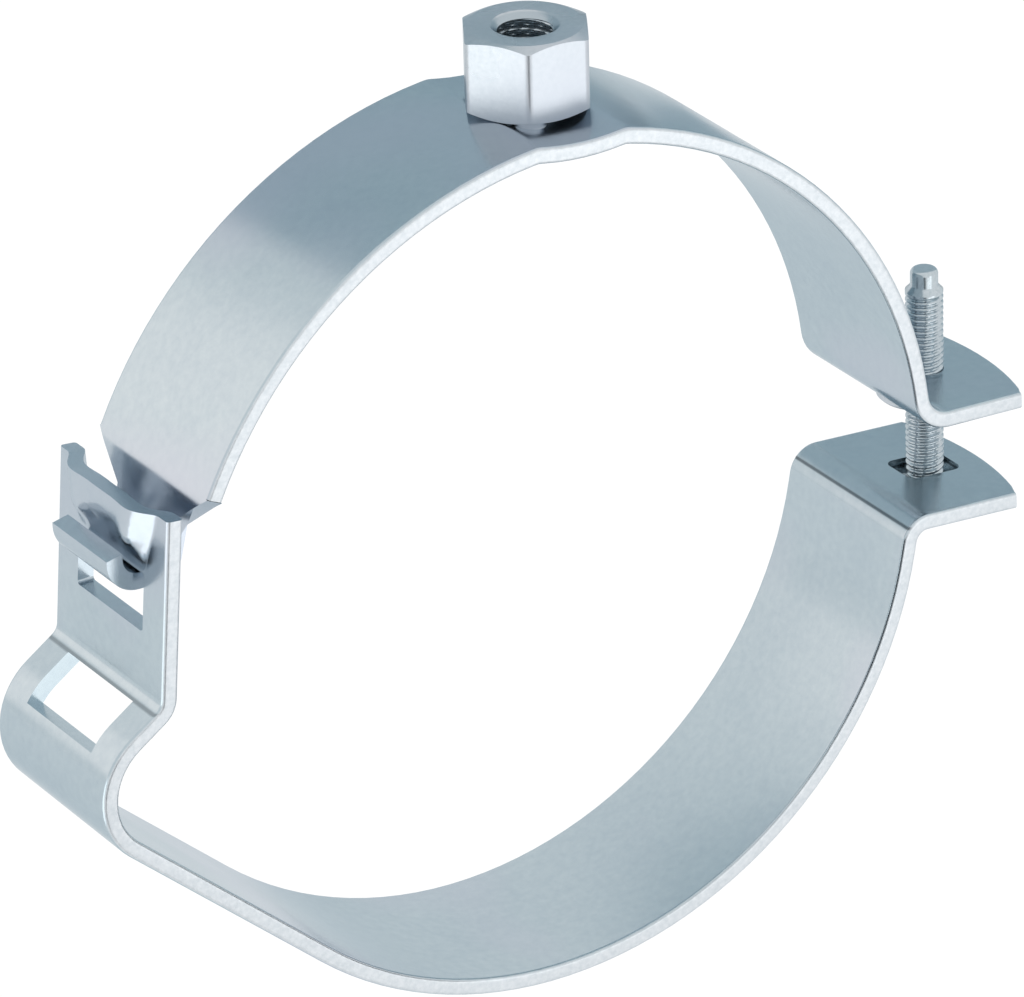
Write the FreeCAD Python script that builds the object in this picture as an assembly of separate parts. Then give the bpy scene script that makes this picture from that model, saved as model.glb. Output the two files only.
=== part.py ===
import FreeCAD, Part
import math
import os

os.makedirs("parts", exist_ok=True)
V = FreeCAD.Vector
SQUARE = 90.0

# Frame: origin at mid length of the connection thread, its axis along +Z, the pipe along Y
# Sheet strap
strap_width = 32.0
strap_thick = 2.7

# Upper shell arcs, radii to the outer face, angles from the pipe axis
left_arc_radius = 72.1
right_arc_radius = 69.55
left_arc_start = 155.3
left_arc_end = 96.6
right_arc_start = 76.6
right_arc_end = 7.5
bend_lead = 0.95

# Pressed seat under the connection nut, hollow between two bent edges
seat_left_lead = 1.295
seat_left_reach = 7.86
seat_depth = 1.47
seat_right_reach = 7.48
seat_right_rise = 0.875
seat_right_lead = 1.248
seat_hollow_radius = 42.0
seat_edge_radius = 4.0

# Tongue and upturned hook at the left end of the upper shell
hook_trough_radius = 2.6
hook_out = 7.5
hook_down = 9.73
hook_tip_outer_rise = 0.5
hook_tip_inner_rise = 1.1
hook_half_width = 8.1
tongue_reach = 4.45
tongue_bend_radius = 1.7
tongue_crease_radius = 9.0
taper_back = 0.1
taper_rise = 0.57
taper_height = 7.0
taper_tilt = 25.0

# Clamping flanges at the right end
screw_out = 9.915
flange_reach = 10.2
upper_flange_fall = 3.56
upper_flange_bend = 4.0
upper_flange_drop = 2.1
flange_spacing = 19.6
lower_flange_bend = 2.0
lower_flange_drop = 3.4
lower_flange_back = 0.95
flange_end_radius = 47.0

# Lower shell arc, radius to the outer face, its right end placed from the screw axis
lower_arc_radius = 66.25
lower_arc_start = 228.87
lower_arc_end = 350.0
lower_end_in = 12.57
lower_end_drop = 2.42

# Hinge plate of the lower shell, placed from the hook
rim_clearance = 0.35
plate_back = 0.04
plate_lean = 4.5
plate_bend_radius = 2.2
tongue_side_clearance = 1.6
slot_depth = 9.25
slot_corner = 0.6

# Loop below the plate, placed from the lip's rim
loop_radius = 12.2
loop_top_out = 5.36
loop_top_down = 21.75
loop_top_slope = 34.5
loop_slot_top_out = 2.56
loop_slot_top_down = 20.25
loop_slot_top_dip = 29.0
loop_slot_low_out = 10.46
loop_slot_low_down = 26.4
loop_slot_low_dip = 16.0

# Lip over the plate slot, pressed outward and scooped below
lip_height = 10.65
lip_side_clearance = 0.25
lip_flare = 3.7
lip_flat_share = 0.66
lip_bulge = 2.45
lip_full_rise = 9.45
lip_full_drop = 3.1
lip_levels = 6
lip_fans = (-1.0, -0.94, -0.83, -0.66, -0.35, 0.0, 0.35, 0.66, 0.83, 0.94, 1.0)

# Connection nut with weld projections
nut_across_flats = 18.4
nut_stand = 1.7
nut_height = 12.2
nut_thread_radius = 4.25
nut_mouth_chamfer = 1.0
nut_top_shoulder = 0.5
nut_bottom_shoulder = 0.8
nut_chamfer_slope = 25.0
nut_edge_radius = 1.0
projection_angles = (0.0, 120.0, 240.0)
projection_radius = 2.75
projection_inset = 2.2

# Clamping screw and the thread collar it runs in
screw_radius = 3.0
screw_clearance = 0.05
screw_stand = 17.0
screw_point_length = 3.85
screw_point_step = 0.8
screw_point_round = 0.8
screw_shoulder_height = 1.1
head_gap = 0.7
head_height = 4.0
head_flats = 10.0
washer_margin = 0.13
washer_height = 0.9
collar_wall = 4.55
collar_thick = 1.5
collar_edge = 0.25

# Clearance hole in the lower flange
flange_hole_side_play = 0.8
flange_hole_end_play = 1.9
flange_hole_shift = 0.4
flange_hole_corner = 1.6


def on_arc(cx, cz, radius, degrees):
    a = math.radians(degrees)
    return (cx + radius * math.cos(a), cz + radius * math.sin(a))


def arc_corner(cx, cz, radius, start, end):
    middle = 0.5 * (start + end)
    reach = radius / math.cos(math.radians(0.5 * (end - start)))
    return on_arc(cx, cz, reach, middle)


def along(point, degrees, distance):
    a = math.radians(degrees)
    return (point[0] + distance * math.cos(a), point[1] + distance * math.sin(a))


def meet(p, p_dir, q, q_dir):
    ax, az = math.cos(p_dir), math.sin(p_dir)
    bx, bz = math.cos(q_dir), math.sin(q_dir)
    cross = ax * bz - az * bx
    s = ((q[0] - p[0]) * bz - (q[1] - p[1]) * bx) / cross
    return (p[0] + s * ax, p[1] + s * az)


# One face of a bent strap as a tangent chain of lines and bends
def strap_face(points, radii, shift):
    count = len(points)
    headings = []
    for i in range(count - 1):
        dx = points[i + 1][0] - points[i][0]
        dz = points[i + 1][1] - points[i][1]
        headings.append(math.atan2(dz, dx))
    moved = []
    for i in range(count):
        h = headings[min(i, count - 2)]
        start = (points[i][0] - shift * math.sin(h), points[i][1] + shift * math.cos(h))
        if 0 < i < count - 1:
            g = headings[i - 1]
            before = (points[i][0] - shift * math.sin(g), points[i][1] + shift * math.cos(g))
            start = meet(before, g, start, h)
        moved.append(start)
    edges = []
    last = moved[0]
    for i in range(1, count - 1):
        turn = math.atan2(math.sin(headings[i] - headings[i - 1]),
                          math.cos(headings[i] - headings[i - 1]))
        side = math.copysign(1.0, turn)
        radius = radii[i] - side * shift
        lead = radius * math.tan(abs(turn) / 2.0)
        a = along(moved[i], math.degrees(headings[i - 1]), -lead)
        b = along(moved[i], math.degrees(headings[i]), lead)
        centre = (a[0] - side * radius * math.sin(headings[i - 1]),
                  a[1] + side * radius * math.cos(headings[i - 1]))
        mx, mz = moved[i][0] - centre[0], moved[i][1] - centre[1]
        reach = math.hypot(mx, mz)
        top = (centre[0] + mx * radius / reach, centre[1] + mz * radius / reach)
        if math.dist(last, a) > 1e-4:
            edges.append(Part.makeLine(V(last[0], 0, last[1]), V(a[0], 0, a[1])))
        arc = Part.Arc(V(a[0], 0, a[1]), V(top[0], 0, top[1]), V(b[0], 0, b[1]))
        edges.append(arc.toShape())
        last = b
    end = moved[-1]
    edges.append(Part.makeLine(V(last[0], 0, last[1]), V(end[0], 0, end[1])))
    return edges, moved[0], moved[-1]


def bent_strap(points, radii, shift):
    first, a0, a1 = strap_face(points, radii, 0.0)
    second, b0, b1 = strap_face(points, radii, shift)
    edges = list(first)
    edges.append(Part.makeLine(V(a1[0], 0, a1[1]), V(b1[0], 0, b1[1])))
    edges.extend(reversed(second))
    edges.append(Part.makeLine(V(b0[0], 0, b0[1]), V(a0[0], 0, a0[1])))
    wire = Part.Wire(Part.__sortEdges__(edges))
    face = Part.Face(wire)
    face.translate(V(0, -half_width, 0))
    return face.extrude(V(0, strap_width, 0))


# Stations of the upper shell, each end placed from the arc it leaves
half_width = strap_width / 2.0
left_start = on_arc(0.0, 0.0, left_arc_radius, left_arc_start)
left_corner = arc_corner(0.0, 0.0, left_arc_radius, left_arc_start, left_arc_end)
left_end = on_arc(0.0, 0.0, left_arc_radius, left_arc_end)
crease = along(left_start, left_arc_start - SQUARE, -bend_lead)
hook_trough_x = left_start[0] - hook_out
hook_trough_z = left_start[1] - hook_down
hook_inner_x = hook_trough_x - hook_trough_radius
hook_tip_outer_z = hook_trough_z + hook_tip_outer_rise
hook_tip_inner_z = hook_trough_z + hook_tip_inner_rise
tongue_z = hook_trough_z - hook_trough_radius
tongue_bend_x = hook_trough_x + tongue_reach
seat_left = along(left_end, left_arc_end - SQUARE, seat_left_lead)
nut_axis_x = seat_left[0] + seat_left_reach
seat_floor_z = seat_left[1] - seat_depth
seat_right = (nut_axis_x + seat_right_reach, seat_floor_z + seat_right_rise)
right_start = along(seat_right, right_arc_start - SQUARE, seat_right_lead)
right_x, right_z = on_arc(right_start[0], right_start[1], -right_arc_radius, right_arc_start)
right_corner = arc_corner(right_x, right_z, right_arc_radius, right_arc_start, right_arc_end)
right_end = on_arc(right_x, right_z, right_arc_radius, right_arc_end)
screw_axis_x = right_end[0] + screw_out
flange_apex_x = screw_axis_x + flange_reach
upper_flange_z = right_end[1] - upper_flange_fall
upper_drop = math.radians(-upper_flange_drop)
upper_tip = (flange_apex_x, upper_flange_z + flange_reach * math.tan(upper_drop))
flange_bend = meet(right_end, math.radians(right_arc_end - SQUARE),
                   (screw_axis_x, upper_flange_z), upper_drop)
upper_points = [
    (hook_inner_x, hook_tip_outer_z + strap_thick),
    (hook_inner_x, tongue_z),
    (tongue_bend_x, tongue_z),
    crease,
    left_corner,
    seat_left,
    (nut_axis_x, seat_floor_z),
    seat_right,
    right_corner,
    flange_bend,
    upper_tip,
]
upper_radii = [
    0.0,
    hook_trough_radius,
    tongue_bend_radius,
    tongue_crease_radius,
    left_arc_radius,
    seat_edge_radius,
    seat_hollow_radius,
    seat_edge_radius,
    right_arc_radius,
    upper_flange_bend,
    0.0,
]
upper = bent_strap(upper_points, upper_radii, -strap_thick)


# Block that trims a flange end to a bowed edge
def bowed_end(apex_x, low_z, high_z):
    reach = flange_end_radius
    disc = Part.makeCylinder(reach, high_z - low_z, V(apex_x - reach, 0, low_z))
    block = Part.makeBox(reach, strap_width * 2.0, high_z - low_z,
                         V(apex_x - reach / 2.0, -strap_width, low_z))
    return block.cut(disc)


upper = upper.cut(bowed_end(flange_apex_x + strap_thick * math.sin(upper_drop),
                            upper_tip[1] - strap_thick * 2.0, upper_tip[1] + strap_thick))

# Hook end sheared on a slant, higher on the inner side
tip_rise = hook_tip_inner_z - hook_tip_outer_z
tip_face = Part.makePolygon([
    V(hook_inner_x - strap_thick * 2.0, -half_width, hook_tip_outer_z - tip_rise),
    V(hook_inner_x + strap_thick, -half_width, hook_tip_inner_z + tip_rise),
    V(hook_inner_x + strap_thick, -half_width, hook_tip_inner_z + strap_thick * 2.0),
    V(hook_inner_x - strap_thick * 2.0, -half_width, hook_tip_inner_z + strap_thick * 2.0),
    V(hook_inner_x - strap_thick * 2.0, -half_width, hook_tip_outer_z - tip_rise),
])
upper = upper.cut(Part.Face(tip_face).extrude(V(0, strap_width, 0)))

# Strap narrowed to the tongue from both sides, cut square to the sheet
taper_dir = V(math.cos(math.radians(taper_tilt)), 0, -math.sin(math.radians(taper_tilt)))
wide = half_width + strap_thick
taper_corner_x = left_start[0] - taper_back
taper_corner_z = left_start[1] + taper_rise
taper_end_z = taper_corner_z - taper_height
for side in (-1.0, 1.0):
    outline = Part.makePolygon([
        V(taper_corner_x, side * wide, taper_corner_z),
        V(taper_corner_x, side * half_width, taper_corner_z),
        V(taper_corner_x, side * hook_half_width, taper_end_z),
        V(taper_corner_x, side * hook_half_width, taper_end_z - strap_width),
        V(taper_corner_x, side * wide, taper_end_z - strap_width),
        V(taper_corner_x, side * wide, taper_corner_z),
    ])
    outline.translate(taper_dir * -half_width)
    upper = upper.cut(Part.Face(outline).extrude(taper_dir * (half_width + strap_thick * 2.0)))

# Tapped hole for the clamping screw
bore_radius = screw_radius + screw_clearance
upper = upper.cut(Part.makeCylinder(bore_radius, strap_thick * 3.0,
                                    V(screw_axis_x, 0, upper_flange_z - strap_thick * 2.0)))


# Every piece is drawn about the left arc's centre and moved so the connection thread is the origin
nut_bottom_z = seat_floor_z + nut_stand
nut_top_z = nut_bottom_z + nut_height


def export(shape, node):
    placed = shape.copy()
    placed.translate(V(-nut_axis_x, 0, -(nut_bottom_z + nut_top_z) / 2.0))
    placed.exportStep("parts/" + node + ".step")


export(upper, "upper_shell")

# Stations of the lower shell: hinge plate, loop, straight run, arc, flange
lip_rim_z = tongue_z + rim_clearance
plate_rim = (hook_trough_x - plate_back, lip_rim_z)
plate_top_z = lip_rim_z + lip_height
lean_slope = math.tan(math.radians(plate_lean))
plate_top = (plate_rim[0] + lip_height * lean_slope, plate_top_z)
loop_top = (plate_rim[0] - loop_top_out, lip_rim_z - loop_top_down)
loop_top_dir = math.radians(2.0 * SQUARE + loop_top_slope)
plate_corner = meet(plate_rim, math.radians(-SQUARE - plate_lean), loop_top, loop_top_dir)
lower_flange_z = upper_flange_z - flange_spacing
lower_end = (screw_axis_x - lower_end_in, lower_flange_z - lower_end_drop)
lower_x, lower_z = on_arc(lower_end[0], lower_end[1], -lower_arc_radius, lower_arc_end)
run_start = on_arc(lower_x, lower_z, lower_arc_radius, lower_arc_start)
loop_corner = meet(loop_top, loop_top_dir, run_start, math.radians(lower_arc_start + SQUARE))
lower_corner = arc_corner(lower_x, lower_z, lower_arc_radius, lower_arc_start, lower_arc_end)
drop = math.radians(-lower_flange_drop)
lower_bend = meet(lower_end, math.radians(lower_arc_end + SQUARE),
                  (screw_axis_x, lower_flange_z), drop)
lower_apex_x = flange_apex_x - lower_flange_back
lower_tip = (lower_apex_x, lower_flange_z + (lower_apex_x - screw_axis_x) * math.tan(drop))
lower_points = [plate_top, plate_corner, loop_corner, lower_corner, lower_bend, lower_tip]
lower_radii = [0.0, plate_bend_radius, loop_radius, lower_arc_radius, lower_flange_bend, 0.0]
lower = bent_strap(lower_points, lower_radii, strap_thick)
lower = lower.cut(bowed_end(lower_apex_x - strap_thick * math.sin(-drop) / 2.0,
                            lower_tip[1] - strap_thick, lower_tip[1] + strap_thick * 2.0))


def rounded_box(size, low, along_axis, corner):
    box = Part.makeBox(size[0], size[1], size[2], V(low[0], low[1], low[2]))
    run = []
    for edge in box.Edges:
        span = edge.Vertexes[0].Point - edge.Vertexes[1].Point
        if abs(span.dot(along_axis)) > corner:
            run.append(edge)
    return box.makeFillet(corner, run)


# Opening for the tongue in the hinge plate
plate_reach = strap_thick * 2.0
plate_left = plate_rim[0] - plate_reach
slot_half_width = hook_half_width + tongue_side_clearance
plate_slot = rounded_box((plate_reach * 2.0, slot_half_width * 2.0, slot_depth + slot_corner * 2.0),
                         (plate_left, -slot_half_width, lip_rim_z - slot_depth),
                         V(1, 0, 0), slot_corner)
lower = lower.cut(plate_slot)

# Second opening in the loop, its ends cut nearly square to the sheet
slot_reach = strap_thick * 2.0
loop_slot_top = (plate_rim[0] - loop_slot_top_out, lip_rim_z - loop_slot_top_down)
loop_slot_low = (plate_rim[0] - loop_slot_low_out, lip_rim_z - loop_slot_low_down)
top_in = along(loop_slot_top, -loop_slot_top_dip, slot_reach)
top_out = along(loop_slot_top, -loop_slot_top_dip, -slot_reach)
low_in = along(loop_slot_low, -loop_slot_low_dip, slot_reach)
low_out = along(loop_slot_low, -loop_slot_low_dip, -slot_reach)
ring = [V(x, -slot_half_width, z) for x, z in (top_in, top_out, low_out, low_in, top_in)]
loop_slot = Part.Face(Part.makePolygon(ring)).extrude(V(0, slot_half_width * 2.0, 0))
lower = lower.cut(loop_slot)

# Lip above the plate opening: fan of sections pressed outward, scooped towards the rim
lean_across = strap_thick / math.cos(math.radians(plate_lean))
lip_rim_half = slot_half_width + lip_side_clearance
lip_top_half = lip_rim_half + lip_flare
lip_spread = lip_flare / lip_height


def smooth(value):
    t = min(1.0, max(0.0, value))
    return t * t * (3.0 - 2.0 * t)


def lip_push(share, z):
    side = smooth((1.0 - abs(share)) / (1.0 - lip_flat_share))
    inward = min(1.0, abs(share) / lip_flat_share)
    full_rise = lip_full_rise - lip_full_drop * inward * inward
    return lip_bulge * side * smooth((z - lip_rim_z) / full_rise)


def lip_point(share, z, inner):
    x = plate_rim[0] + (z - lip_rim_z) * lean_slope - lip_push(share, z)
    level = z
    if inner:
        level = z - strap_thick * math.sin(math.radians(plate_lean)) * (z - lip_rim_z) / lip_height
        x = x + lean_across
    return V(x, share * (lip_rim_half + lip_spread * (level - lip_rim_z)), level)


def lip_section(share):
    heights = [lip_rim_z + lip_height * k / lip_levels for k in range(lip_levels + 1)]
    outer = [lip_point(share, z, False) for z in heights]
    inner = [lip_point(share, z, True) for z in reversed(heights)]
    front = Part.BSplineCurve()
    front.interpolate(outer)
    back = Part.BSplineCurve()
    back.interpolate(inner)
    return Part.Wire([front.toShape(), Part.makeLine(outer[-1], inner[0]),
                      back.toShape(), Part.makeLine(inner[-1], outer[0])])


over = strap_thick
block = Part.makePolygon([
    V(plate_left, -lip_rim_half, lip_rim_z),
    V(plate_left, lip_rim_half, lip_rim_z),
    V(plate_left, lip_top_half + lip_spread * over, plate_top_z + over),
    V(plate_left, -lip_top_half - lip_spread * over, plate_top_z + over),
    V(plate_left, -lip_rim_half, lip_rim_z),
])
lower = lower.cut(Part.Face(block).extrude(V(plate_reach * 3.0, 0, 0)))
lip = Part.makeLoft([lip_section(share) for share in lip_fans], True, False)
lower = lower.fuse(lip)

# Clearance hole in the lower flange
hole_end = screw_radius + flange_hole_end_play
hole_side = screw_radius + flange_hole_side_play
hole = rounded_box((hole_end * 2.0, hole_side * 2.0, strap_thick * 3.0),
                   (-hole_end, -hole_side, -strap_thick),
                   V(0, 0, 1), flange_hole_corner)
hole.rotate(V(0, 0, 0), V(0, 1, 0), lower_flange_drop)
hole.translate(V(screw_axis_x - flange_hole_shift, 0, lower_flange_z))
lower = lower.cut(hole)
export(lower, "lower_shell")


# Hexagonal bar with corners at plus and minus X
def hexagon(flats, low_z, high_z, x):
    corner = flats / math.sqrt(3.0)
    points = [V(x + corner * math.cos(math.radians(60.0 * k)),
                corner * math.sin(math.radians(60.0 * k)), low_z) for k in range(7)]
    return Part.Face(Part.makePolygon(points)).extrude(V(0, 0, high_z - low_z))


# Turned body about a vertical axis from (radius, z) pairs
def turned(pairs, x):
    points = [V(x + r, 0, z) for r, z in pairs]
    face = Part.Face(Part.makePolygon(points + [points[0]]))
    return face.revolve(V(x, 0, 0), V(0, 0, 1), 360.0)


# Connection nut with chamfered ends
rise = math.tan(math.radians(nut_chamfer_slope))
blank = nut_across_flats
top_r = nut_across_flats / 2.0 - nut_top_shoulder
low_r = nut_across_flats / 2.0 - nut_bottom_shoulder
nut = hexagon(nut_across_flats, nut_bottom_z, nut_top_z, nut_axis_x)
posts = [e for e in nut.Edges
         if abs(e.Vertexes[0].Point.z - e.Vertexes[1].Point.z) > nut_edge_radius]
nut = nut.makeFillet(nut_edge_radius, posts)
nut = nut.common(turned([
    (0.0, nut_bottom_z),
    (low_r, nut_bottom_z),
    (blank, nut_bottom_z + (blank - low_r) * rise),
    (blank, nut_top_z - (blank - top_r) * rise),
    (top_r, nut_top_z),
    (0.0, nut_top_z),
], nut_axis_x))

# Weld projections under alternate corners, fused to the seat, clear of the bore
foot_z = seat_floor_z - projection_inset / 4.0
for degrees in projection_angles:
    spot = on_arc(nut_axis_x, 0.0, nut_across_flats / 2.0 - projection_inset, degrees)
    foot = V(spot[0], spot[1], foot_z)
    nut = nut.fuse(Part.makeCylinder(projection_radius, nut_bottom_z + nut_edge_radius - foot_z, foot))
nut_mouth_radius = nut_thread_radius + nut_mouth_chamfer
nut = nut.cut(turned([
    (0.0, foot_z),
    (nut_mouth_radius, foot_z),
    (nut_mouth_radius, nut_bottom_z),
    (nut_thread_radius, nut_bottom_z + nut_mouth_chamfer),
    (nut_thread_radius, nut_top_z - nut_mouth_chamfer),
    (nut_mouth_radius, nut_top_z),
    (nut_mouth_radius, nut_top_z + nut_mouth_chamfer),
    (0.0, nut_top_z + nut_mouth_chamfer),
], nut_axis_x))
nut = nut.cut(upper).removeSplitter()
export(nut, "connection_nut")

# Clamping screw: hexagon washer head, shank, turned point with a rounded tip
screw_tip_z = upper_flange_z + screw_stand
screw_thread_top_z = screw_tip_z - screw_point_length
screw_point_radius = screw_radius - screw_point_step
point_low_z = screw_thread_top_z + screw_shoulder_height
head_top_z = lower_flange_z - head_gap
head_low_z = head_top_z - head_height
round_x = screw_axis_x + screw_point_radius - screw_point_round
round_z = screw_tip_z - screw_point_round
shank_edges = []
shank_run = [
    V(round_x, 0, screw_tip_z),
    V(screw_axis_x, 0, screw_tip_z),
    V(screw_axis_x, 0, head_low_z + washer_height),
    V(screw_axis_x + screw_radius, 0, head_low_z + washer_height),
    V(screw_axis_x + screw_radius, 0, screw_thread_top_z),
    V(screw_axis_x + screw_point_radius, 0, point_low_z),
    V(screw_axis_x + screw_point_radius, 0, round_z),
]
for first, second in zip(shank_run, shank_run[1:]):
    shank_edges.append(Part.makeLine(first, second))
round_middle = on_arc(round_x, round_z, screw_point_round, 45.0)
shank_edges.append(Part.Arc(shank_run[-1], V(round_middle[0], 0, round_middle[1]),
                            shank_run[0]).toShape())
shank = Part.Face(Part.Wire(shank_edges)).revolve(V(screw_axis_x, 0, 0), V(0, 0, 1), 360.0)
washer = Part.makeCylinder(head_flats / math.sqrt(3.0) + washer_margin, washer_height,
                           V(screw_axis_x, 0, head_top_z - washer_height))
head = hexagon(head_flats, head_low_z, head_top_z, screw_axis_x)
screw = shank.fuse(washer).fuse(head).removeSplitter()
export(screw, "clamp_screw")

# Thread collar: disc welded under the upper flange, its top following the flange
collar_high_z = upper_flange_z - strap_thick / 2.0
collar_low_z = upper_flange_z - strap_thick - collar_thick
collar_radius = bore_radius + collar_wall
collar = turned([
    (bore_radius, collar_low_z),
    (collar_radius - collar_edge, collar_low_z),
    (collar_radius, collar_low_z + collar_edge),
    (collar_radius, collar_high_z),
    (bore_radius, collar_high_z),
], screw_axis_x).cut(upper)
export(collar, "thread_collar")
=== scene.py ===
import math
import bmesh
import bpy
from mathutils import Matrix, Vector


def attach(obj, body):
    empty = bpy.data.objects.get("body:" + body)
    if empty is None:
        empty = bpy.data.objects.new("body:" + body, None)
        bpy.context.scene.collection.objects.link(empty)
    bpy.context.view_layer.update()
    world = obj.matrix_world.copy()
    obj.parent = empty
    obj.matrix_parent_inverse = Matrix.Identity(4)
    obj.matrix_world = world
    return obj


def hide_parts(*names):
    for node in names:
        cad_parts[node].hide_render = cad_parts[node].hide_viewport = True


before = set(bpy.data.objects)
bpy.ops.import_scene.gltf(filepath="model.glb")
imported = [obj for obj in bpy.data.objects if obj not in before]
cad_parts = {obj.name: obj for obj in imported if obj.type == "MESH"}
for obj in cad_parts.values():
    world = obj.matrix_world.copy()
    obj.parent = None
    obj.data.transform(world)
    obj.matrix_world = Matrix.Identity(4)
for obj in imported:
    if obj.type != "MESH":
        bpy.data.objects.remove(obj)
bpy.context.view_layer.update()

# Sizes of the pieces are in millimetres, and MM turns them into metres. A turned surface
# closes on its axis in a ring as small as pole
MM = 0.001
TURN = 2.0 * math.pi
pole = 0.001

# Clamping screw, as in the CAD part
screw_x = 71.446
screw_radius = 3.0
screw_root = 2.55
screw_pitch = 1.0
screw_rows_a_turn = 10.0
screw_runout = 0.6
screw_land_low = 0.05
screw_land_high = 0.25
screw_point = 2.2
screw_point_round = 0.8
screw_point_flat = 0.75
screw_point_foot = 0.1
screw_point_steps = 6
screw_tip_z = -52.353
screw_thread_top_z = -56.203
screw_shoulder = 1.1
head_top_z = -89.653
head_height = 4.0
head_flats = 10.0
head_corner = 0.4
head_chamfer = 0.6
head_chamfer_height = 0.35
head_foot = 0.15
washer_radius = 5.9
washer_height = 0.9
washer_margin = 0.13
washer_chamfer = 0.2
screw_steps = 96

# Connection nut, as in the CAD part, with its foot a little lower to narrow the gap below it
nut_flats = 18.4
nut_half = 6.1
nut_corner = 1.0
nut_top_circle = 8.7
nut_low_circle = 8.9
nut_foot_z = -6.4
nut_slope = math.tan(math.radians(25.0))
nut_edge_band = 0.5
nut_face_band = 0.3
nut_thread = 4.25
nut_thread_root = 4.95
nut_thread_pitch = 1.5
nut_runout = 0.4
nut_mouth = 5.25
nut_mouth_break = 0.12
nut_mouth_drop = 0.05
bore_rows = 96
bore_shade_reach = 5.1
bore_shade_edge = 0.1
nut_steps = 180
weld_angles = (0.0, 120.0, 240.0)
weld_reach = 7.0
weld_radius = 2.55
weld_flare = 0.2
weld_low_z = -7.45
weld_high_z = -5.6
weld_rows = 8
weld_steps = 40

# Rolled thread: steepness of a flank, and how much of it the groove's flat bottom hides
flank_rise = 3.4
flank_start = 0.3

# Strap: half its width and the rounding of its long edges. Points closer than same_point are
# one, rim edges shorter than short_rim_edge close up first, and where the outline turns so far
# that the cosine falls below end_turn, a cut end of the strip begins
strap_half = 16.0
roll_radius = 0.6
roll_steps = 6
short_rim_edge = 0.16
same_point = 0.001
end_turn = 0.5
strap_sharp_angle = 20.0

# Zinc plating: sizes of its cloud, of its drift in hue and of the sheared sides' mottle, the
# depth of its grain, how far the cloud moves its roughness, and the sheared sides' roughness
cloud_size = 22.0
drift_size = 37.0
mottle_size = 0.9
grain_depth = 0.02
gloss_swing = 0.03
sheared_rough = 0.4

# Painted shade along the bends of the lower strap, as thin dark lines: height, where along X a line
# starts to show and shows in full, and how dark it is
bend_shade_lines = ((-87.25, 54.0, 55.0, 0.75), (-79.9, -75.0, -75.6, 0.5))
bend_shade_core = 0.1
bend_shade_edge = 0.28

# Floor: how far it reaches from the middle and its height, in metres
floor_reach = 6.0
floor_z = -0.75


# Colours given as sRGB hex, turned into scene-linear values
def rgb(code):
    parts = []
    for i in (0, 2, 4):
        c = int(code[i:i + 2], 16) / 255.0
        parts.append(c / 12.92 if c <= 0.04045 else ((c + 0.055) / 1.055) ** 2.4)
    return (parts[0], parts[1], parts[2], 1.0)


# Adds a node with its settings, and links or sets its inputs. The Mix node's sockets go by
# number, because it repeats their names: 6 and 7 are its colours, 2 and 3 its numbers
def add_node(tree, kind, inputs=None, **settings):
    node = tree.nodes.new(kind)
    for key, value in settings.items():
        setattr(node, key, value)
    for key, value in (inputs or {}).items():
        if isinstance(value, bpy.types.NodeSocket):
            tree.links.new(value, node.inputs[key])
        else:
            node.inputs[key].default_value = value
    return node


# On the strap: thin dark lines of painted shade along its bends, and the paler, duller, mottled
# sides that shearing left, whose faces look out along Y at the strap's full width
def sheared_sides_and_bend_shade(tree, where, axes, face, gloss):
    # Painted shade: each line mixes a dark colour into the strap's colour along a bend
    for level, start, full, share in bend_shade_lines:
        off = add_node(tree, "ShaderNodeMath", {0: axes["Z"], 1: level * MM}, operation="SUBTRACT")
        off = add_node(tree, "ShaderNodeMath", {0: off.outputs[0]}, operation="ABSOLUTE")
        bend_shade_mask = add_node(tree, "ShaderNodeMapRange",
                        {"Value": off.outputs[0], "From Min": bend_shade_core * MM,
                         "From Max": bend_shade_edge * MM, "To Min": 1.0, "To Max": 0.0})
        shown = add_node(tree, "ShaderNodeMapRange",
                         {"Value": axes["X"], "From Min": start * MM, "From Max": full * MM,
                          "To Min": 0.0, "To Max": share})
        bend_shade_mask = add_node(tree, "ShaderNodeMath",
                        {0: bend_shade_mask.outputs["Result"], 1: shown.outputs["Result"]},
                        operation="MULTIPLY")
        face = add_node(tree, "ShaderNodeMix", {0: bend_shade_mask.outputs[0], 6: face, 7: rgb("39444B")},
                        data_type="RGBA").outputs[2]
    mottle = add_node(tree, "ShaderNodeTexNoise",
                      {"Vector": where, "Scale": 1.0 / (mottle_size * MM), "Detail": 2.0,
                       "Roughness": 0.7})
    mottle = add_node(tree, "ShaderNodeMapRange",
                      {"Value": mottle.outputs["Fac"], "From Min": 0.3, "From Max": 0.7})
    sawn = add_node(tree, "ShaderNodeMix",
                    {0: mottle.outputs["Result"], 6: rgb("CED5DA"), 7: rgb("DEE3E7")},
                    data_type="RGBA").outputs[2]
    facing = add_node(tree, "ShaderNodeNewGeometry").outputs["Normal"]
    facing = add_node(tree, "ShaderNodeSeparateXYZ", {"Vector": facing}).outputs["Y"]
    side = add_node(tree, "ShaderNodeMath", {0: axes["Y"], 1: strap_half * MM},
                    operation="DIVIDE")
    side = add_node(tree, "ShaderNodeMath", {0: facing, 1: side.outputs[0]},
                    operation="MULTIPLY")
    sheared = add_node(tree, "ShaderNodeMapRange",
                       {"Value": side.outputs[0], "From Min": 0.6, "From Max": 0.95})
    sheared = sheared.outputs["Result"]
    face = add_node(tree, "ShaderNodeMix", {0: sheared, 6: face, 7: sawn},
                    data_type="RGBA").outputs[2]
    gloss = add_node(tree, "ShaderNodeMix", {0: sheared, 2: gloss, 3: sheared_rough}).outputs[0]
    return face, gloss
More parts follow.
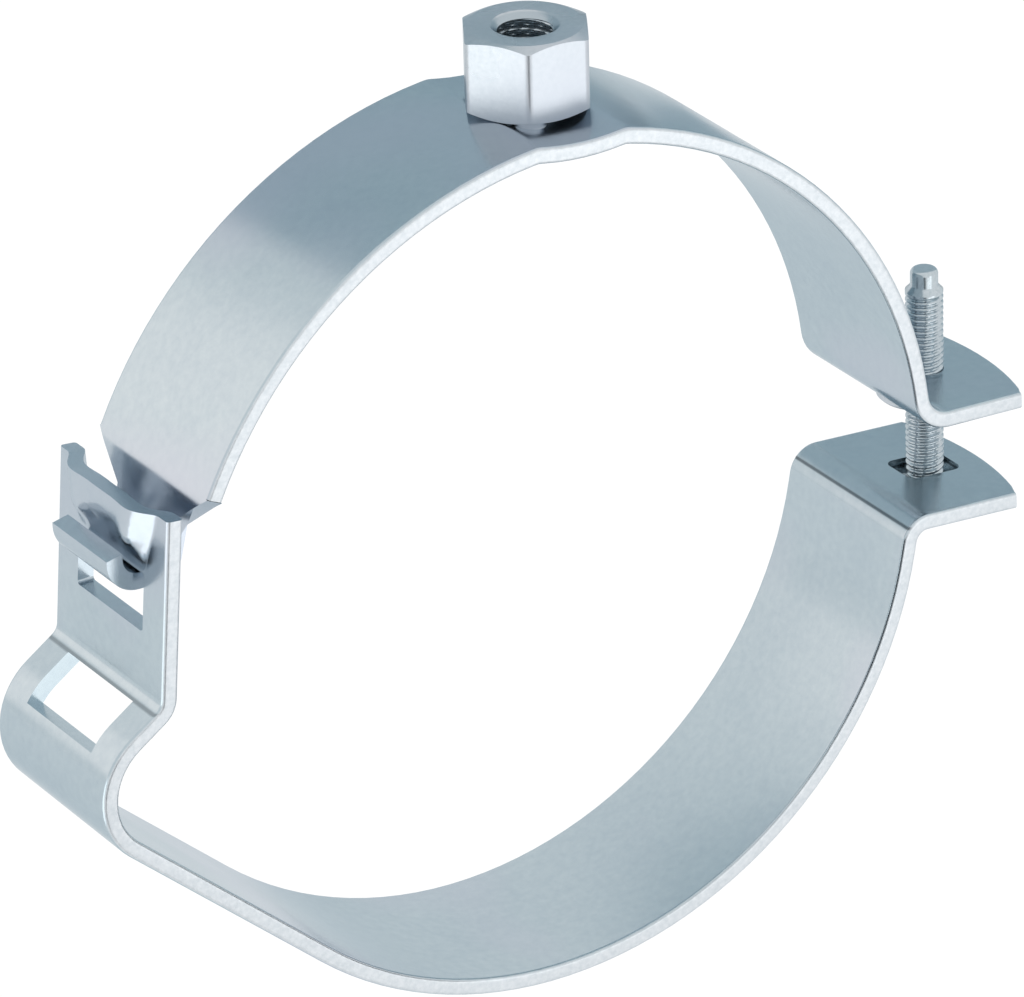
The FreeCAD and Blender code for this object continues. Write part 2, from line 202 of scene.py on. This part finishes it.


# Painted shade in the nut's bore, which is coloured a shade darker than the plating outside
def nut_bore_shade(tree, where, axes, face, gloss):
    x_squared = add_node(tree, "ShaderNodeMath", {0: axes["X"], 1: 2.0}, operation="POWER")
    y_squared = add_node(tree, "ShaderNodeMath", {0: axes["Y"], 1: 2.0}, operation="POWER")
    reach = add_node(tree, "ShaderNodeMath", {0: x_squared.outputs[0], 1: y_squared.outputs[0]},
                     operation="ADD")
    reach = add_node(tree, "ShaderNodeMath", {0: reach.outputs[0]}, operation="SQRT")
    bore_shade_mask = add_node(tree, "ShaderNodeMapRange",
                      {"Value": reach.outputs[0],
                       "From Min": (bore_shade_reach - bore_shade_edge) * MM,
                       "From Max": (bore_shade_reach + bore_shade_edge) * MM,
                       "To Min": 1.0, "To Max": 0.0})
    # Painted shade: the bore takes a darker colour than the nut's outside
    face = add_node(tree, "ShaderNodeMix",
                    {0: bore_shade_mask.outputs["Result"], 6: face, 7: rgb("AEB9C0")},
                    data_type="RGBA").outputs[2]
    return face, gloss


# Zinc-plated steel: satin metal with a soft cloud in tone and gloss, a faint violet drift and
# the grain of the steel below, a size in millimetres, as a slight relief
def zinc_plated(name, light, dark, tint, rough, bump, grain, marks_and_shade=None):
    material = bpy.data.materials.new(name)
    material.use_nodes = True
    tree = material.node_tree
    tree.nodes.clear()
    where = add_node(tree, "ShaderNodeTexCoord").outputs["Object"]
    axes = add_node(tree, "ShaderNodeSeparateXYZ", {"Vector": where}).outputs
    cloud = add_node(tree, "ShaderNodeTexNoise",
                     {"Vector": where, "Scale": 1.0 / (cloud_size * MM), "Detail": 3.0,
                      "Roughness": 0.5}).outputs["Fac"]
    speck = add_node(tree, "ShaderNodeTexNoise",
                     {"Vector": where, "Scale": 1.0 / (grain * MM), "Detail": 3.0,
                      "Roughness": 0.6}).outputs["Fac"]
    drift = add_node(tree, "ShaderNodeTexNoise",
                     {"Vector": where, "Scale": 1.0 / (drift_size * MM), "Detail": 1.0,
                      "Roughness": 0.5}).outputs["Fac"]
    tone = add_node(tree, "ShaderNodeMath", {0: cloud, 1: speck}, operation="ADD")
    tone = add_node(tree, "ShaderNodeMapRange",
                    {"Value": tone.outputs[0], "From Min": 0.7, "From Max": 1.3})
    face = add_node(tree, "ShaderNodeMix",
                    {0: tone.outputs["Result"], 6: rgb(dark), 7: rgb(light)},
                    data_type="RGBA").outputs[2]
    drift = add_node(tree, "ShaderNodeMapRange",
                     {"Value": drift, "From Min": 0.5, "From Max": 0.7, "To Max": 0.7})
    face = add_node(tree, "ShaderNodeMix", {0: drift.outputs["Result"], 6: face, 7: rgb(tint)},
                    data_type="RGBA").outputs[2]
    gloss = add_node(tree, "ShaderNodeMapRange",
                     {"Value": cloud, "From Min": 0.3, "From Max": 0.7,
                      "To Min": rough - gloss_swing, "To Max": rough + gloss_swing}).outputs["Result"]
    if marks_and_shade:
        face, gloss = marks_and_shade(tree, where, axes, face, gloss)
    relief = add_node(tree, "ShaderNodeBump",
                      {"Strength": bump, "Distance": grain_depth * MM, "Height": speck})
    shader = add_node(tree, "ShaderNodeBsdfPrincipled",
                      {"Base Color": face, "Metallic": 1.0, "Roughness": gloss,
                       "Specular Tint": rgb("DDE4E8"),
                       "Normal": relief.outputs["Normal"]})
    add_node(tree, "ShaderNodeOutputMaterial", {"Surface": shader.outputs["BSDF"]})
    return material


strap_zinc = zinc_plated("zinc_plated_strap", "BAC7CD", "AFBDC5", "BDC3CE", 0.2, 0.25, 1.4,
                         sheared_sides_and_bend_shade)
nut_zinc = zinc_plated("zinc_plated_nut", "C8CED3", "B9C1C7", "C1C7D0", 0.28, 0.5, 0.9,
                       nut_bore_shade)
screw_zinc = zinc_plated("zinc_plated_screw", "C6CFD4", "AEBAC0", "C0C8D0", 0.22, 0.2, 0.6)


# Turned or threaded surface: rings of points given by a function of angle and row
def rings(point, steps, rows, closed):
    points = [point(TURN * k / steps, row) for row in range(rows) for k in range(steps)]
    faces = []
    for row in range(rows if closed else rows - 1):
        low = row * steps
        high = ((row + 1) % rows) * steps
        for k in range(steps):
            after = (k + 1) % steps
            faces.append((low + k, low + after, high + after, high + k))
    return points, faces


def joined(parts):
    points = []
    faces = []
    for part_points, part_faces in parts:
        shift = len(points)
        points.extend(part_points)
        faces.extend(tuple(i + shift for i in face) for face in part_faces)
    return points, faces


# Mesh object in metres from millimetre points, edges sharper than the angle kept crisp
def piece(name, points, faces, material, sharp):
    mesh = bpy.data.meshes.new(name)
    mesh.from_pydata([(x * MM, y * MM, z * MM) for x, y, z in points], [], faces)
    mesh.polygons.foreach_set("use_smooth", [True] * len(mesh.polygons))
    mesh.set_sharp_from_angle(angle=math.radians(sharp))
    mesh.materials.append(material)
    obj = bpy.data.objects.new(name, mesh)
    bpy.context.scene.collection.objects.link(obj)
    return obj


# Height of a thread's flank, 0 in the groove and 1 on the crest
def ridge(turns):
    return min(1.0, max(0.0, abs(turns % 1.0 - 0.5) * flank_rise - flank_start))


# Distance from the axis to the side of a hexagon with rounded corners at plus and minus X.
# A rounding turns by 60 degrees, so it reaches half its radius to each side of its corner
def hexagon_reach(angle, flats, corner):
    local = (angle % (math.pi / 3.0)) - math.pi / 6.0
    swing = math.pi / 6.0 - abs(local)
    middle = (flats / 2.0 - corner) / math.cos(math.pi / 6.0)
    across = middle * math.sin(swing)
    if across < corner / 2.0:
        return middle * math.cos(swing) + math.sqrt(corner ** 2 - across ** 2)
    return flats / 2.0 / math.cos(local)


# Clamping screw with its rolled thread, turned point and hexagon washer head
thread_low_z = head_top_z - washer_height
thread_rows = int((screw_thread_top_z - thread_low_z) / screw_pitch * screw_rows_a_turn)
point_base_z = screw_thread_top_z + screw_shoulder
screw_top = [(screw_radius, screw_thread_top_z + screw_land_low),
             (screw_radius, screw_thread_top_z + screw_land_high),
             (screw_point, point_base_z),
             (screw_point, point_base_z + screw_point_foot)]
for k in range(screw_point_steps + 1):
    a = math.radians(90.0 / screw_point_steps * k)
    screw_top.append((screw_point - screw_point_round * (1.0 - math.cos(a)),
                      screw_tip_z - screw_point_round * (1.0 - math.sin(a))))
screw_top.append((screw_point_flat, screw_tip_z))
screw_top.append((pole, screw_tip_z))


def screw_point_at(angle, row):
    if row < thread_rows:
        z = thread_low_z + (screw_thread_top_z - thread_low_z) * row / (thread_rows - 1)
        depth = (screw_radius - screw_root) * (1.0 - ridge(z / screw_pitch - angle / TURN))
        left = (screw_thread_top_z - z) / (screw_runout * screw_pitch)
        r = screw_radius - depth * min(1.0, left)
    else:
        r, z = screw_top[row - thread_rows]
    return (screw_x + r * math.cos(angle), r * math.sin(angle), z)


# Rows of the head: what the radius is measured from, how far off it, and the height
head_rows = [
    ("axis", pole, -head_height),
    ("hexagon", -head_chamfer, -head_height),
    ("hexagon", 0.0, -head_height + head_chamfer_height),
    ("hexagon", 0.0, -washer_height - head_foot),
    ("hexagon", washer_margin, -washer_height),
    ("washer", 0.0, -washer_height),
    ("washer", 0.0, -washer_chamfer),
    ("washer", -washer_chamfer, 0.0),
    ("axis", screw_root, 0.0),
]


def head_point_at(angle, row):
    kind, offset, z = head_rows[row]
    starts = {"axis": 0.0, "hexagon": hexagon_reach(angle, head_flats, head_corner),
              "washer": washer_radius}
    r = starts[kind] + offset
    return (screw_x + r * math.cos(angle), r * math.sin(angle), head_top_z + z)


screw_mesh = joined([rings(screw_point_at, screw_steps, thread_rows + len(screw_top), False),
                     rings(head_point_at, screw_steps, len(head_rows), False)])
screw = piece("clamp_screw_threaded", screw_mesh[0], screw_mesh[1], screw_zinc, 50.0)
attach(screw, "screw")
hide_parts("clamp_screw")

# Connection nut with chamfered ends and its thread, and the welds that hold it to the seat
bore_top_z = nut_half - (nut_mouth - nut_thread)
nut_outer_rows = 9
nut_inner_rows = 5


def nut_point_at(angle, row):
    wall = hexagon_reach(angle, nut_flats, nut_corner)
    top = nut_half - max(0.0, wall - nut_top_circle) * nut_slope
    low = nut_foot_z + max(0.0, wall - nut_low_circle) * nut_slope
    outer = [
        (wall, low), (wall, low + nut_edge_band), (wall, top - nut_edge_band), (wall, top),
        (0.5 * (wall + nut_top_circle), 0.5 * (nut_half + top)),
        (nut_top_circle, nut_half), (nut_top_circle - nut_face_band, nut_half),
        (nut_mouth + nut_mouth_break, nut_half), (nut_mouth, nut_half - nut_mouth_drop),
    ]
    inner = [
        (nut_mouth, nut_foot_z + nut_mouth_drop), (nut_mouth + nut_mouth_break, nut_foot_z),
        (nut_low_circle - nut_face_band, nut_foot_z), (nut_low_circle, nut_foot_z),
        (0.5 * (wall + nut_low_circle), 0.5 * (low + nut_foot_z)),
    ]
    step = row - nut_outer_rows
    if step < 0:
        r, z = outer[row]
    elif step < bore_rows:
        z = bore_top_z - 2.0 * bore_top_z * step / (bore_rows - 1)
        groove = 1.0 - ridge(z / nut_thread_pitch - angle / TURN)
        fade = min(1.0, (bore_top_z - abs(z)) / nut_runout)
        r = nut_thread + (nut_thread_root - nut_thread) * groove * fade
    else:
        r, z = inner[step - bore_rows]
    return (r * math.cos(angle), r * math.sin(angle), z)


# Weld nugget: short post that flares a little into the nut and into the seat, closed on top
def weld_at(degrees):
    cx = weld_reach * math.cos(math.radians(degrees))
    cy = weld_reach * math.sin(math.radians(degrees))

    def at(angle, row):
        share = min(row, weld_rows) / weld_rows
        r = pole if row > weld_rows else weld_radius + weld_flare * (2.0 * share - 1.0) ** 4
        z = weld_low_z + (weld_high_z - weld_low_z) * share
        return (cx + r * math.cos(angle), cy + r * math.sin(angle), z)
    return at


nut_mesh = joined([rings(nut_point_at, nut_steps, nut_outer_rows + bore_rows + nut_inner_rows,
                         True)]
                  + [rings(weld_at(d), weld_steps, weld_rows + 2, False) for d in weld_angles])
nut = piece("connection_nut_threaded", nut_mesh[0], nut_mesh[1], nut_zinc, 24.0)
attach(nut, "upper")
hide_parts("connection_nut")

# The collar keeps its CAD solid
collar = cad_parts["thread_collar"]
collar.data.materials.clear()
collar.data.materials.append(nut_zinc)


# Open edges of the strip on one side
def rim_edges(bm, side):
    return [e for e in bm.edges if e.is_boundary and e.verts[0].co.y * side > 0.0]


# Vertices of one side's rim, in order
def rim_loop(bm, side):
    rim = rim_edges(bm, side)
    loop = [rim[0].verts[0], rim[0].verts[1]]
    last = rim[0]
    while len(loop) < len(rim):
        last = [e for e in loop[-1].link_edges if e.is_boundary and e is not last][0]
        loop.append(last.other_vert(loop[-1]))
    return loop


# Which way, and how far for one unit of rounding, each corner of the side's outline moves in.
# The cut ends of the strip keep their place, so a corner beside one moves with its long edge
def inward_moves(flat):
    count = len(flat)
    area = sum(flat[k - 1].x * flat[k].z - flat[k].x * flat[k - 1].z for k in range(count))
    inward = []
    for k in range(count):
        along = (flat[k] - flat[k - 1]).normalized()
        inward.append(Vector((-along.z, 0.0, along.x)) * math.copysign(1.0, area))
    moves = []
    for k in range(count):
        first, second = inward[k], inward[(k + 1) % count]
        if first.dot(second) > end_turn:
            moves.append((first + second) / (1.0 + first.dot(second)))
        else:
            moves.append(second if first.dot(inward[k - 1]) < end_turn else first)
    return moves


# Rounds the long edges of one side over and closes that side with flat faces
def roll_side(bm, side, half):
    radius = roll_radius * MM
    ring = rim_loop(bm, side)
    flat = [Vector((v.co.x, 0.0, v.co.z)) for v in ring]
    moves = inward_moves(flat)
    for vert in ring:
        vert.co.y = side * (half - radius)
    for step in range(1, roll_steps + 1):
        a = math.radians(90.0 / roll_steps * step)
        after = []
        for place, move in zip(flat, moves):
            spot = place + move * radius * (1.0 - math.cos(a))
            spot.y = side * (half - radius + radius * math.sin(a))
            after.append(bm.verts.new(spot))
        for k in range(len(ring)):
            bm.faces.new((ring[k - 1], ring[k], after[k], after[k - 1]))
        ring = after
    bmesh.ops.triangle_fill(bm, use_beauty=False, use_dissolve=False, edges=rim_edges(bm, side))


# Strap half: the CAD solid's mesh with the long edges of the rolled strip rounded over
def rolled_strap(name, node_name, body):
    bm = bmesh.new()
    bm.from_mesh(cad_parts[node_name].data)
    bmesh.ops.remove_doubles(bm, verts=bm.verts, dist=same_point * MM)
    half = max(v.co.y for v in bm.verts)
    flat_sides = [f for f in bm.faces
                  if abs(sum(v.co.y for v in f.verts)) > len(f.verts) * half - same_point * MM]
    bmesh.ops.delete(bm, geom=flat_sides, context="FACES")
    bmesh.ops.collapse(bm, edges=[e for e in bm.edges if e.is_boundary
                                  and e.calc_length() < short_rim_edge * MM])
    for side in (-1.0, 1.0):
        roll_side(bm, side, half)
    bmesh.ops.recalc_face_normals(bm, faces=bm.faces)
    mesh = bpy.data.meshes.new(name)
    bm.to_mesh(mesh)
    bm.free()
    mesh.polygons.foreach_set("use_smooth", [True] * len(mesh.polygons))
    mesh.set_sharp_from_angle(angle=math.radians(strap_sharp_angle))
    mesh.materials.clear()
    mesh.materials.append(strap_zinc)
    obj = bpy.data.objects.new(name, mesh)
    bpy.context.scene.collection.objects.link(obj)
    normals = obj.modifiers.new("even_normals", "WEIGHTED_NORMAL")
    normals.keep_sharp = True
    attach(obj, body)
    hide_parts(node_name)


rolled_strap("upper_shell_rolled", "upper_shell", "upper")
rolled_strap("lower_shell_rolled", "lower_shell", "lower")


# Flat card that stands in the studio, out of the camera's sight. Places are in metres
def card(name, centre, normal, width, height, colour):
    n = Vector(normal).normalized()
    side = Vector((0.0, 0.0, 1.0)).cross(n).normalized()
    rise = n.cross(side)
    corners = [Vector(centre) + side * (0.5 * width * s) + rise * (0.5 * height * t)
               for s, t in ((-1, -1), (1, -1), (1, 1), (-1, 1))]
    mesh = bpy.data.meshes.new(name)
    mesh.from_pydata([tuple(p) for p in corners], [], [(0, 1, 2, 3)])
    material = bpy.data.materials.new(name + "_paper")
    material.use_nodes = True
    tree = material.node_tree
    tree.nodes.clear()
    shader = add_node(tree, "ShaderNodeBsdfDiffuse", {"Color": rgb(colour)})
    add_node(tree, "ShaderNodeOutputMaterial", {"Surface": shader.outputs["BSDF"]})
    mesh.materials.append(material)
    obj = bpy.data.objects.new(name, mesh)
    bpy.context.scene.collection.objects.link(obj)
    obj.visible_camera = False
    obj.visible_shadow = False


card("grey_card_back", (0.06, 0.12, 0.1565), (0.0, -1.0, -0.1), 0.28, 0.327, "CADAE2")
card("grey_card_side", (0.265, 0.12, 0.10), (0.0, -1.0, -0.1), 0.27, 0.32, "CADAE2")
card("dark_card_front", (-0.09, -0.23, -0.16), (0.36, 0.82, 0.44), 0.13, 0.15, "30393F")
card("dark_card_screw", (-0.005, -0.055, -0.11), (0.8, 0.55, 0.3), 0.06, 0.06, "3A444B")

# White paper floor, well below the hanging bracket. It takes the shadow, and a little light of
# its own lifts it to white where the camera, metal or glass sees it
floor_paper = bpy.data.materials.new("white_paper")
floor_paper.use_nodes = True
ft = floor_paper.node_tree
ft.nodes.clear()
paper = add_node(ft, "ShaderNodeBsdfDiffuse", {"Color": rgb("DCDCDC")})
ray = add_node(ft, "ShaderNodeLightPath")
shown = add_node(ft, "ShaderNodeMath", {0: ray.outputs["Is Camera Ray"],
                                        1: ray.outputs["Is Glossy Ray"]}, operation="MAXIMUM")
shown = add_node(ft, "ShaderNodeMath", {0: shown.outputs[0],
                                        1: ray.outputs["Is Transmission Ray"]},
                 operation="MAXIMUM")
lift = add_node(ft, "ShaderNodeMath", {0: shown.outputs[0], 1: 0.32}, operation="MULTIPLY")
glow = add_node(ft, "ShaderNodeEmission", {"Color": rgb("FFFFFF"), "Strength": lift.outputs[0]})
both = add_node(ft, "ShaderNodeAddShader", {0: paper.outputs[0], 1: glow.outputs[0]})
add_node(ft, "ShaderNodeOutputMaterial", {"Surface": both.outputs[0]})
floor_mesh = bpy.data.meshes.new("floor")
floor_mesh.from_pydata([(-floor_reach, -floor_reach, floor_z), (floor_reach, -floor_reach, floor_z),
                        (floor_reach, floor_reach, floor_z), (-floor_reach, floor_reach, floor_z)],
                       [], [(0, 1, 2, 3)])
floor_mesh.materials.append(floor_paper)
floor = bpy.data.objects.new("floor", floor_mesh)
bpy.context.scene.collection.objects.link(floor)

# Even white studio
world = bpy.data.worlds.new("studio")
bpy.context.scene.world = world
world.use_nodes = True
wt = world.node_tree
wt.nodes.clear()
light = add_node(wt, "ShaderNodeBackground", {"Color": rgb("FFFFFF"), "Strength": 1.0})
add_node(wt, "ShaderNodeOutputWorld", {"Surface": light.outputs[0]})


# Soft area light that looks at a point near the bracket. Places are in metres
def soft_light(name, place, target, width, height, level, colour):
    data = bpy.data.lights.new(name, "AREA")
    data.shape = "RECTANGLE"
    data.size = width
    data.size_y = height
    data.color = rgb(colour)[:3]
    data.energy = level * math.pi * width * height
    obj = bpy.data.objects.new(name, data)
    bpy.context.scene.collection.objects.link(obj)
    aim = (Vector(target) - Vector(place)).to_track_quat("-Z", "Y")
    obj.matrix_world = Matrix.Translation(Vector(place)) @ aim.to_matrix().to_4x4()
    obj.visible_camera = False


soft_light("left_softbox", (-0.30, 0.24, 0.06), (0.0, 0.0, -0.04), 0.22, 0.28, 0.36, "FFE2D2")
soft_light("low_left_softbox", (-0.32, -0.03, -0.17), (0.0, 0.0, -0.03), 0.2, 0.24, 0.85, "FFFFFF")
soft_light("front_strip", (0.165, -0.28, -0.11), (0.04, 0.0, -0.04), 0.09, 0.20, 0.85, "FFFFFF")
soft_light("low_front_softbox", (0.06, -0.28, -0.20), (-0.05, 0.0, -0.07), 0.07, 0.12, 0.85,
           "FFFFFF")

# Camera as worked out from the photograph: its three directions and its place, in metres
camera_right = Vector((0.84699, -0.53105, -0.02446))
camera_up = Vector((0.25158, 0.35986, 0.89845))
camera_back = Vector((-0.46832, -0.76713, 0.43839))
camera_place = Vector((-0.59549, -0.96802, 0.48230))
camera_data = bpy.data.cameras.new("camera")
camera_data.sensor_width = 36.0
camera_data.lens = 292.29
camera_data.clip_start = 0.05
camera_data.clip_end = 20.0
camera = bpy.data.objects.new("camera", camera_data)
bpy.context.scene.collection.objects.link(camera)
camera_turn = Matrix((camera_right, camera_up, camera_back)).transposed().to_4x4()
camera.matrix_world = Matrix.Translation(camera_place) @ camera_turn
bpy.context.scene.camera = camera
bpy.context.scene.view_settings.view_transform = "Standard"
